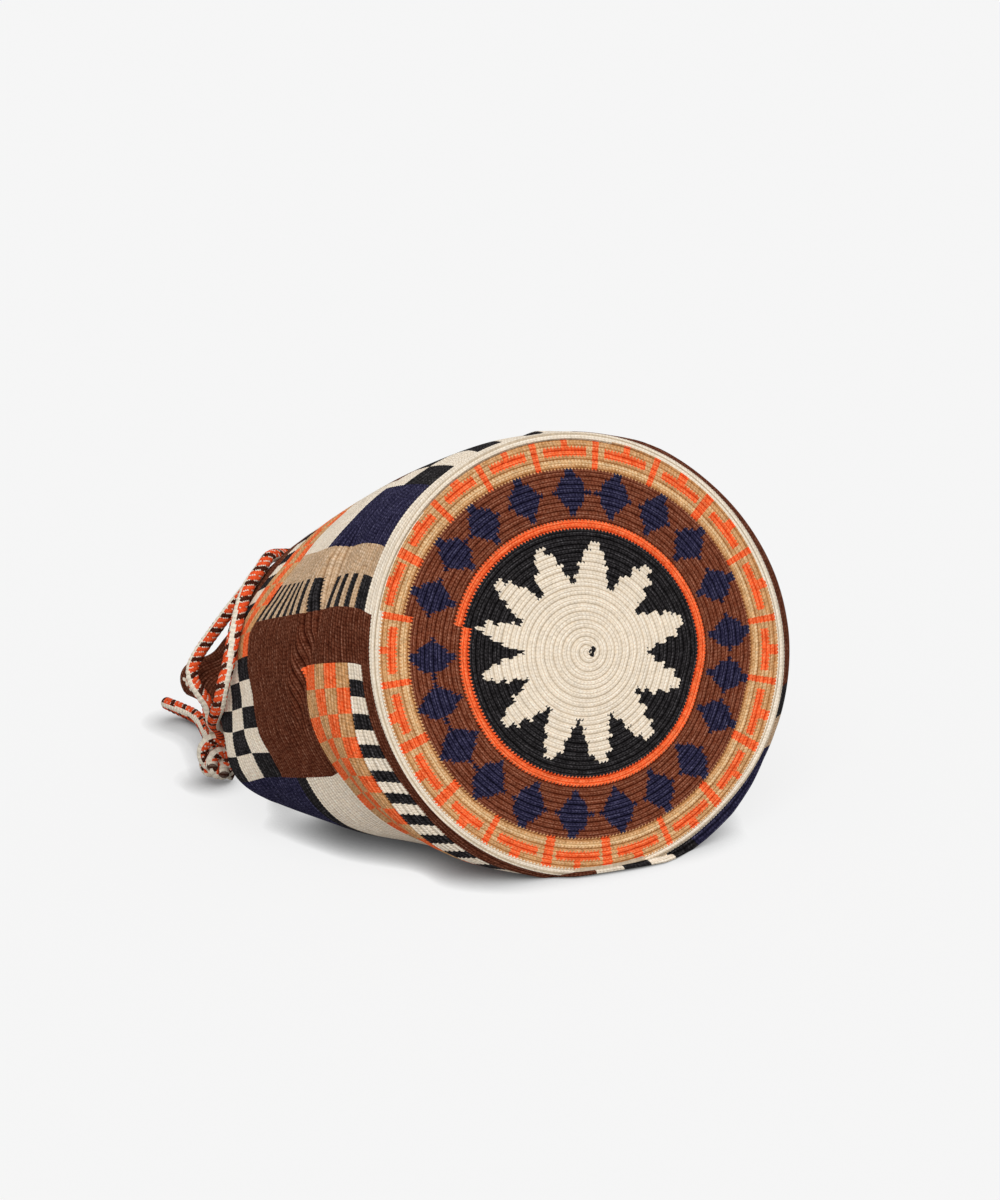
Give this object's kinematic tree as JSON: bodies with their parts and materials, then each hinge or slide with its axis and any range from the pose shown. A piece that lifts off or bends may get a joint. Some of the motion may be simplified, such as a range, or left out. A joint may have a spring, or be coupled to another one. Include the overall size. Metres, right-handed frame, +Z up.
{
  "type": "crocheted drawstring bucket bag",
  "caption": "Soft crocheted bucket bag lying on its side, round flat base, slumped wall with stepped bands, and a neck gathered by a knotted plaited drawstring.",
  "frame": {"origin": "on the floor under the middle of the shell's box, cord left out", "axes": "+Z up, +Y from the base towards the mouth, +X to the right as seen from the base's side"},
  "size_m": [0.3046, 0.2954, 0.2111],
  "materials": {
    "crochet": "matte cotton crochet in brown, navy, tan, orange, cream and black",
    "plait": "matte plaited cotton in orange, cream and brown"
  },
  "bodies": {
    "root": {"bag_body": "crochet", "drawstring": "plait", "drawstring_knot": "plait"}
  },
  "joints": []
}
